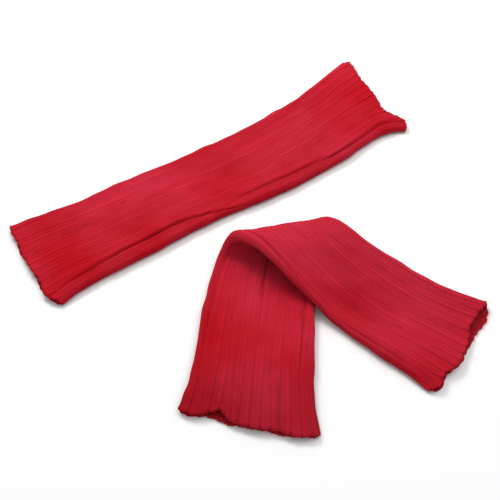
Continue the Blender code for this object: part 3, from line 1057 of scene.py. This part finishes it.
# %% [markdown]
# All the yarn is one red, a little lighter and pinker in some places than in others. What changes most
# is how deep it lies: the strands catch the light, and the gaps between them, the grooves, the creases
# and the inside of the tube go dark. That shade is painted into the colour from depths that the mesh
# keeps as attributes, so it stays where it is from every side.

# %% The painted shade of the knit
GROOVE_REACH = 0.55  # in wales, from the middle of the purled wale
CLEFT_REACH = 0.35  # in wales, from the line between the two plain ones
# The cleft's painted shade is this many times as dark for its depth as a groove's.
CLEFT_SHADE = 3.0  # times as dark for its depth as a groove, because it is so narrow
END_REACH = 0.6  # in courses past the wall's edge, where its end is in full shade


def mix_colour(tree, share, first, second):
    """One colour blended into another by a mask."""
    return add_node(tree, "ShaderNodeMix", {0: share, 6: first, 7: second}, data_type="RGBA").outputs[2]


def mesh_value(tree, name):
    """A value that the mesh keeps for each of its points, or nothing where it keeps none."""
    return add_node(tree, "ShaderNodeAttribute", attribute_name=name).outputs["Fac"]


def groove_shade(tree, wale):
    """Painted shade in the purled wale, which drops out of the light where the ribs close up, and in the
    cleft between the two plain wales.
    """
    do = partial(calculate, tree)
    in_wales = do("MULTIPLY", do("FRACT", do("DIVIDE", wale, RIB_WALES)), RIB_WALES)
    purled = mapped(tree, distance_to(tree, in_wales, 0.5), (0.0, GROOVE_REACH), FALLING)
    cleft = mapped(tree, distance_to(tree, in_wales, 2.0), (0.0, CLEFT_REACH), (CLEFT_SHADE, 0.0))
    groove = do("MULTIPLY", purled, mesh_value(tree, "groove"))
    return do("ADD", groove, do("MULTIPLY", cleft, mesh_value(tree, "parting")))


def end_shade(tree, course):
    """Painted shade on the end of the wall and on its inside, which hardly any light reaches."""
    before = calculate(tree, "MULTIPLY", course, -1.0)
    after = calculate(tree, "SUBTRACT", course, LENGTH / COURSE)
    past_edge = mapped(tree, calculate(tree, "MAXIMUM", before, after), (0.0, END_REACH))
    return calculate(tree, "MAXIMUM", past_edge, mesh_value(tree, "inside"))


print("the grooves' shade reaches", round(GROOVE_REACH / RIB_WALES, 2), "of a rib to each side")

# %% [markdown]
# The material blends three reds by those masks, so the shade of the gaps, grooves, creases, ends and
# inside is painted into its colour. The fluff gives the whole cloth a faint pink sheen, and it has
# hardly any gloss. The tube and the bound edges use the same groups with their own values.

# %% The yarn's materials
YARN_RED = (0.545, 0.0008, 0.008, 1.0)
WARM_RED = (0.700, 0.025, 0.058, 1.0)
# The red that each stitch's random tone leans to, and the colour of all the painted shade.
TONE_AND_SHADE_RED = (0.200, 0.0012, 0.0050, 1.0)
SHEEN_PINK = (1.0, 0.16, 0.22, 1.0)
DARKEST = 0.95  # share of the deep red where several kinds of shade meet
END_SHADE_STRENGTH = 0.60
CREASE_SHADE_STRENGTH = 0.40
TONE_STRENGTH = 0.10
CLOUD_RANGE = (0.35, 0.68)
FUZZ_RANGE = (0.3, 0.7)
ROUGHNESS_RANGE = (0.78, 0.95)
FLUFF_STRENGTH = 0.6
FLUFF_HEIGHT = 0.00010
SPECULAR_LEVEL = 0.08
SHEEN_ROUGHNESS = 0.45


def yarn_material(name, stitch_height, gap_shade_strength, groove_shade_strength, sheen):
    """A knit of red yarn: its stitches read the UV map and its fuzz the Object coordinates."""
    material = bpy.data.materials.new(name)
    material.use_nodes = True
    tree = material.node_tree
    shader = tree.nodes["Principled BSDF"].inputs
    uv = add_node(tree, "ShaderNodeUVMap", uv_map="knit").outputs["UV"]
    place = add_node(tree, "ShaderNodeTexCoord").outputs["Object"]
    stitches = add_node(tree, "ShaderNodeGroup", {"Place": uv}, node_tree=STITCHES).outputs
    fuzz = add_node(tree, "ShaderNodeGroup", {"Place": place}, node_tree=FUZZ).outputs
    on_cloth = add_node(tree, "ShaderNodeSeparateXYZ", {"Vector": uv}).outputs

    dyed = mix_colour(tree, mapped(tree, fuzz["Cloud"], CLOUD_RANGE), YARN_RED, WARM_RED)
    toned = mix_colour(tree, calculate(tree, "MULTIPLY", stitches["Tone"], TONE_STRENGTH), dyed, TONE_AND_SHADE_RED)
    # Painted shade: how far the colour goes to the shade red, summed from the mouths, gaps, grooves, ends and
    # creases.
    dark = mesh_value(tree, "mouth_shade")
    for shade, strength in (
        (stitches["Gap"], gap_shade_strength),
        (groove_shade(tree, on_cloth["X"]), groove_shade_strength),
        (end_shade(tree, on_cloth["Y"]), END_SHADE_STRENGTH),
        (mesh_value(tree, "crease_shade"), CREASE_SHADE_STRENGTH),
    ):
        dark = calculate(tree, "MULTIPLY_ADD", shade, strength, dark)
    dark = calculate(tree, "MINIMUM", dark, DARKEST)
    tree.links.new(mix_colour(tree, dark, toned, TONE_AND_SHADE_RED), shader["Base Color"])
    tree.links.new(mapped(tree, fuzz["Fuzz"], FUZZ_RANGE, ROUGHNESS_RANGE), shader["Roughness"])

    fluff = {"Strength": FLUFF_STRENGTH, "Distance": FLUFF_HEIGHT, "Height": fuzz["Fuzz"]}
    relief = {"Strength": 1.0, "Distance": stitch_height, "Height": stitches["Height"]}
    relief["Normal"] = add_node(tree, "ShaderNodeBump", fluff).outputs["Normal"]
    tree.links.new(add_node(tree, "ShaderNodeBump", relief).outputs["Normal"], shader["Normal"])
    shader["Specular IOR Level"].default_value = SPECULAR_LEVEL
    shader["Sheen Weight"].default_value = sheen
    shader["Sheen Roughness"].default_value = SHEEN_ROUGHNESS
    shader["Sheen Tint"].default_value = SHEEN_PINK
    print(name, "has", len(tree.nodes), "nodes")
    return material


RIB_KNIT = yarn_material(
    "rib_knit", stitch_height=0.00045, gap_shade_strength=0.40, groove_shade_strength=0.16, sheen=0.18
)
EDGE_YARN = yarn_material(
    "bound_edge_yarn", stitch_height=0.00020, gap_shade_strength=0.45, groove_shade_strength=0.0, sheen=0.10
)

# %% [markdown]
# Now both tubes can be made, each from its own tables. The straight one needs no fold, so its rings
# stay where they are placed. The tree then presses the grooves into the wall. The print shows how many
# triangles each has.

# %% The two tubes
def show(name, mesh):
    piece = bpy.data.objects.new(name, mesh)
    bpy.context.scene.collection.objects.link(piece)
    return piece


def knit_tube(name, tube):
    piece = show(name, knit_wall(name, tube))
    run_tree(piece, RAISE_RIBS, {"Groove Depth": GROOVE_DEPTH, "Knit": RIB_KNIT})
    return piece


straight_tube = knit_tube("straight_knit_tube", straight)
folded_tube = knit_tube("folded_knit_tube", folded)

# %% [markdown]
# Each mouth is bound off: the last stitches are chained over each other, so the edge looks like a
# small braid. A tree lays one V of yarn on each wale along the mouth's line. The line is a loop of
# edges that also says which way is out of the wall, and that is what turns each stitch.

# %% The tree that binds off an edge
STRAND_STEPS = 5
YARN_SIDES = 6
SMALLEST_STITCH, LARGEST_STITCH = 0.85, 1.15


def bind_off_tree():
    tree = bpy.data.node_groups.new("bind_off", "GeometryNodeTree")
    add_sockets(tree, "INPUT", "Geometry", "Geometry")
    add_sockets(tree, "INPUT", "Int", "Stitches", "Seed")
    add_sockets(tree, "INPUT", "Float", "Stitch Length", "Thickness", "Spread")
    add_sockets(tree, "INPUT", "Material", "Yarn")
    add_sockets(tree, "OUTPUT", "Geometry", "Geometry")
    given = add_node(tree, "NodeGroupInput").outputs
    line = add_node(tree, "GeometryNodeMeshToCurve", {"Mesh": given["Geometry"]}).outputs[0]
    even = add_node(tree, "GeometryNodeResampleCurve", {"Curve": line, "Count": given["Stitches"]}).outputs[0]
    half_length = calculate(tree, "MULTIPLY", given["Stitch Length"], 0.5)
    start = combined(tree, calculate(tree, "MULTIPLY", half_length, -1.0))
    stitch = add_node(tree, "GeometryNodeJoinGeometry")
    for side in (1.0, -1.0):
        spread = calculate(tree, "MULTIPLY", given["Spread"], side)
        bend = combined(tree, 0.0, spread, given["Thickness"])
        end = combined(tree, half_length, spread)
        shape = {"Resolution": STRAND_STEPS, "Start": start, "Middle": bend, "End": end}
        strand = add_node(tree, "GeometryNodeCurveQuadraticBezier", shape)
        tree.links.new(strand.outputs[0], stitch.inputs["Geometry"])
    circle = {"Resolution": YARN_SIDES, "Radius": given["Thickness"]}
    round_yarn = add_node(tree, "GeometryNodeCurvePrimitiveCircle", circle).outputs["Curve"]
    swept = {"Curve": stitch.outputs[0], "Profile Curve": round_yarn, "Fill Caps": True}
    yarn = add_node(tree, "GeometryNodeCurveToMesh", swept).outputs[0]
    soft_yarn = add_node(tree, "GeometryNodeSetShadeSmooth", {"Geometry": yarn}).outputs[0]
    tangent = add_node(tree, "GeometryNodeInputTangent").outputs[0]
    axes = {"Primary Axis": read_attribute(tree, "outward", "FLOAT_VECTOR"), "Secondary Axis": tangent}
    turned = add_node(tree, "FunctionNodeAxesToRotation", axes, primary_axis="Z", secondary_axis="X")
    range_of_sizes = {2: SMALLEST_STITCH, 3: LARGEST_STITCH, "Seed": given["Seed"]}
    size = add_node(tree, "FunctionNodeRandomValue", range_of_sizes, data_type="FLOAT").outputs[1]
    placing = {"Points": even, "Instance": soft_yarn, "Rotation": turned.outputs[0], "Scale": size}
    chain = add_node(tree, "GeometryNodeInstanceOnPoints", placing).outputs[0]
    finish_tree(tree, chain, given["Yarn"])
    return tree


BIND_OFF = bind_off_tree()

# %% The bound edges
BINDING_REACH = 0.0004
BINDING_SIZES = {"Stitches": WALES, "Stitch Length": 0.0036, "Thickness": 0.00055, "Spread": 0.0008}


def mouth_lines(name, tube):
    """Both mouths of a tube as loops of edges, each point knowing which way is out of the wall."""
    points, outward, edges = [], [], []
    for along, direction in ((0.0, -1), (LENGTH, 1)):
        outside, ahead = edge_and_ahead(tube, along, direction)
        inside, _ = outer_ring(tube, along, wall_at(along))
        first, count = len(edges), len(outside)
        points.append((outside + inside) / 2 + ahead * BINDING_REACH)
        outward.append(ahead)
        edges += [(first + i, first + (i + 1) % count) for i in range(count)]
    mesh = bpy.data.meshes.new(name)
    mesh.from_pydata(np.concatenate(points).tolist(), edges, [])
    kept = mesh.attributes.new("outward", "FLOAT_VECTOR", "POINT")
    kept.data.foreach_set("vector", np.concatenate(outward).ravel())
    return mesh


def bound_edges(name, tube, seed):
    """The bound edges of both mouths, with nothing of them below the surface."""
    edges = show(name, mouth_lines(name, tube))
    run_tree(edges, BIND_OFF, {**BINDING_SIZES, "Seed": seed, "Yarn": EDGE_YARN})
    edges.data.uv_layers.new(name="knit")
    for vertex in edges.data.vertices:
        vertex.co.z = max(vertex.co.z, 0.0)
    return edges


straight_edges = bound_edges("straight_bound_edges", straight, 3)
folded_edges = bound_edges("folded_bound_edges", folded, 8)

# %% [markdown]
# Each tube stands for its CAD node, which is hidden, and goes with its bound edges under the root body.
# Cut open along one edge, a tube is 190 mm wide and 400 mm long.

for tube, edges, node, held in (
    (straight_tube, straight_edges, "straight_leg_warmer", "laid"),
    (folded_tube, folded_edges, "folded_leg_warmer", "folded"),
):
    for piece in (tube, edges):
        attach(piece, "root")
    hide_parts(node)
    print(tube.name, "stands for", node)

# %% [markdown]
# The photograph is a cut-out on white, lit softly from above. A pale floor under a white sky gives
# that. Red cloth on a white floor would take much of its light from below, though, and lose the shade
# on its lower edges, so the floor looks pale but throws only half of its light back.

# %% The floor
FLOOR_SIZE = 6.0
FLOOR_PALE = (0.92, 0.92, 0.92, 1.0)
FLOOR_BOUNCE = (0.52, 0.52, 0.52, 1.0)
FLOOR_ROUGHNESS = 0.9
FLOOR_CORNERS = ((-1, -1), (1, -1), (1, 1), (-1, 1))

floor_mesh = bpy.data.meshes.new("floor")
corners = [(x * FLOOR_SIZE / 2, y * FLOOR_SIZE / 2, 0.0) for x, y in FLOOR_CORNERS]
floor_mesh.from_pydata(corners, [], [(0, 1, 2, 3)])
floor = show("floor", floor_mesh)
paint = bpy.data.materials.new("pale_floor")
paint.use_nodes = True
painted = paint.node_tree.nodes["Principled BSDF"].inputs
seen = add_node(paint.node_tree, "ShaderNodeLightPath").outputs["Is Camera Ray"]
paint.node_tree.links.new(mix_colour(paint.node_tree, seen, FLOOR_BOUNCE, FLOOR_PALE), painted["Base Color"])
painted["Roughness"].default_value = FLOOR_ROUGHNESS
painted["Specular IOR Level"].default_value = 0.0
floor_mesh.materials.append(paint)
print("floor:", FLOOR_SIZE, "m square")

# %% [markdown]
# Two soft lamps help the sky: one over the far left side rakes across the ribs, and a wider, weaker
# one over the right side fills their shade. Both are turned to the middle of the pair.

# %% The light
SKY_WHITE = (1.0, 1.0, 1.0, 1.0)
SKY_STRENGTH = 0.60
Lamp = namedtuple("Lamp", "name place power size")
LAMPS = (
    Lamp("key", (-0.42, 0.66, 0.85), 8.1, 0.45),
    Lamp("fill", (0.62, 0.30, 1.10), 5.25, 0.9),
)

for lamp in LAMPS:
    light = bpy.data.objects.new(lamp.name, bpy.data.lights.new(lamp.name, "AREA"))
    light.data.energy = lamp.power
    light.data.size = lamp.size
    light.location = lamp.place
    light.rotation_euler = Vector(lamp.place).to_track_quat("Z", "Y").to_euler()
    bpy.context.scene.collection.objects.link(light)

sky = bpy.data.worlds.new("sky")
sky.use_nodes = True
sky.node_tree.nodes["Background"].inputs["Color"].default_value = SKY_WHITE
sky.node_tree.nodes["Background"].inputs["Strength"].default_value = SKY_STRENGTH
bpy.context.scene.world = sky
bpy.context.scene.view_settings.view_transform = "Standard"
print("lamps in watts:", [lamp.power for lamp in LAMPS])
